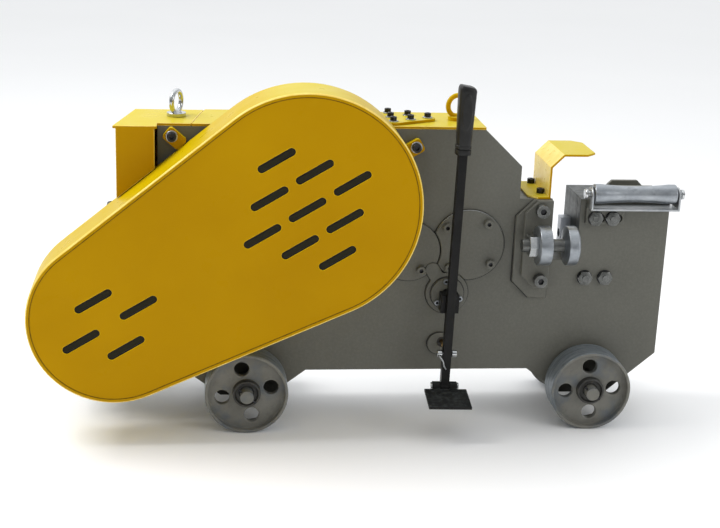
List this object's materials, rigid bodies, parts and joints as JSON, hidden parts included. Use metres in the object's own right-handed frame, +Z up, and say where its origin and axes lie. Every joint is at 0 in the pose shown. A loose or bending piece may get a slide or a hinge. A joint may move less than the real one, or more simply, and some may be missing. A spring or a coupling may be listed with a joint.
{
  "type": "rebar cutting machine",
  "caption": "Wheeled electric rebar cutter with a belt guard, plate body, clutch lever with foot pedal, cutting throat, bar stop and support roller.",
  "frame": {"origin": "on the floor under the middle of the machine's bounding box", "axes": "+X towards the cutting end, +Y away from the belt guard's side, +Z up"},
  "size_m": [1.168, 0.4104, 0.6412],
  "materials": {
    "yellow_paint": "gloss enamel",
    "grey_paint": "satin hammered enamel",
    "black_paint": "satin paint",
    "grip_plastic": "moulded",
    "blade_steel": "ground",
    "gear_steel": "machined, oiled",
    "zinc_steel": "bright zinc plate",
    "black_oxide": "black oxide",
    "cast_iron": "dark, rubbed bright at the rim",
    "bronze": "turned",
    "belt_rubber": "fabric-faced",
    "motor_paint": "satin enamel",
    "box_plastic": "moulded"
  },
  "bodies": {
    "machine_body": {"front_side_plate": "grey_paint", "back_side_plate": "grey_paint", "rear_wall_and_floor": "grey_paint", "nose_wall": "grey_paint", "ledge_cover": "grey_paint", "throat_wall": "grey_paint", "blade_seat": "grey_paint", "fixed_blade": "blade_steel", "wheel_axles": "gear_steel", "split_pins": "gear_steel", "belt_guard": "yellow_paint", "shaft_cover": "grey_paint", "crank_cover": "grey_paint", "clutch_flange": "grey_paint", "rear_bearing_covers": "grey_paint", "top_cover": "yellow_paint", "inspection_lid": "yellow_paint", "motor_hood": "yellow_paint", "lifting_eyes": "yellow_paint", "slide_guide": "grey_paint", "shaft_bushes": "bronze", "v_belts": "belt_rubber", "motor_frame": "motor_paint", "motor_end_shields": "motor_paint", "motor_fan_cover": "motor_paint", "terminal_box": "box_plastic", "motor_base": "grey_paint", "lever_detent": "grey_paint", "detent_plunger": "bronze", "slide_cover": "grey_paint", "slide_plate": "grey_paint", "stop_lock_nut": "zinc_steel", "throat_guard": "yellow_paint", "roller_bracket": "zinc_steel", "roller_axle": "zinc_steel", "rear_bar_rest": "grey_paint", "front_socket_bolts": "black_oxide", "top_bolts": "black_oxide", "hex_bolts": "zinc_steel"},
    "flywheel": {"flywheel": "cast_iron", "input_shaft": "gear_steel"},
    "motor_rotor": {"motor_shaft": "gear_steel", "motor_pulley": "cast_iron"},
    "intermediate_shaft": {"intermediate_gear": "gear_steel", "intermediate_shaft": "gear_steel"},
    "crank_gear": {"crank_gear": "gear_steel"},
    "crankshaft": {"crankshaft": "gear_steel"},
    "ram": {"ram": "gear_steel", "moving_blade": "blade_steel"},
    "clutch_lever": {"lever_rod": "black_paint", "lever_grip": "grip_plastic", "lever_hub": "black_paint"},
    "foot_pedal": {"pedal": "black_paint", "pedal_pin": "zinc_steel"},
    "bar_stop": {"stop_screw": "zinc_steel"},
    "support_roller": {"support_roller": "zinc_steel"},
    "rear_left_wheel": {"rear_left_wheel": "cast_iron"},
    "rear_right_wheel": {"rear_right_wheel": "cast_iron"},
    "front_left_wheel": {"front_left_wheel": "cast_iron"},
    "front_right_wheel": {"front_right_wheel": "cast_iron"}
  },
  "joints": [
    {"name": "flywheel_spin", "type": "hinge", "parent": "machine_body", "child": "flywheel", "pos_m": [-0.107, 0, 0.433], "axis": [0, 1, 0], "continuous": true},
    {"name": "motor_spin", "type": "hinge", "parent": "machine_body", "child": "motor_rotor", "pos_m": [-0.435, 0, 0.232], "axis": [0, 1, 0], "continuous": true},
    {"name": "intermediate_spin", "type": "hinge", "parent": "machine_body", "child": "intermediate_shaft", "pos_m": [0.03735, 0, 0.35103], "axis": [0, 1, 0], "continuous": true},
    {"name": "crank_gear_spin", "type": "hinge", "parent": "machine_body", "child": "crank_gear", "pos_m": [0.196, 0, 0.3405], "axis": [0, 1, 0], "continuous": true},
    {"name": "crank_turn", "type": "hinge", "parent": "machine_body", "child": "crankshaft", "pos_m": [0.196, 0, 0.3405], "axis": [0, 1, 0], "range_deg": [0, 180]},
    {"name": "ram_slide", "type": "slide", "parent": "machine_body", "child": "ram", "axis": [1, 0, 0], "range_m": [0, 0.034]},
    {"name": "lever_tilt", "type": "hinge", "parent": "machine_body", "child": "clutch_lever", "pos_m": [0.161, 0, 0.2495], "axis": [0, 1, 0], "range_deg": [0, 18]},
    {"name": "pedal_fold", "type": "hinge", "parent": "clutch_lever", "child": "foot_pedal", "pos_m": [0.15753, -0.13, 0.08404], "axis": [-0.9998, 0, 0.0209], "range_deg": [0, 50]},
    {"name": "stop_slide", "type": "slide", "parent": "machine_body", "child": "bar_stop", "axis": [1, 0, 0], "range_m": [-0.008, 0.008]},
    {"name": "roller_spin", "type": "hinge", "parent": "machine_body", "child": "support_roller", "pos_m": [0.492, -0.1, 0.442], "axis": [1, 0, 0], "continuous": true},
    {"name": "rear_left_wheel_spin", "type": "hinge", "parent": "machine_body", "child": "rear_left_wheel", "pos_m": [-0.204, 0, 0.075], "axis": [0, 1, 0], "continuous": true},
    {"name": "rear_right_wheel_spin", "type": "hinge", "parent": "machine_body", "child": "rear_right_wheel", "pos_m": [-0.204, 0, 0.075], "axis": [0, 1, 0], "continuous": true},
    {"name": "front_left_wheel_spin", "type": "hinge", "parent": "machine_body", "child": "front_left_wheel", "pos_m": [0.432, 0, 0.075], "axis": [0, 1, 0], "continuous": true},
    {"name": "front_right_wheel_spin", "type": "hinge", "parent": "machine_body", "child": "front_right_wheel", "pos_m": [0.432, 0, 0.075], "axis": [0, 1, 0], "continuous": true}
  ],
  "couplings": [
    {"joint": "motor_spin", "follows": "flywheel_spin", "ratio": 3.1509},
    {"joint": "intermediate_spin", "follows": "flywheel_spin", "ratio": -0.31746},
    {"joint": "crank_gear_spin", "follows": "flywheel_spin", "ratio": 0.14991},
    {"joint": "ram_slide", "follows": "crank_turn", "m_per_rad": 0.01082}
  ]
}
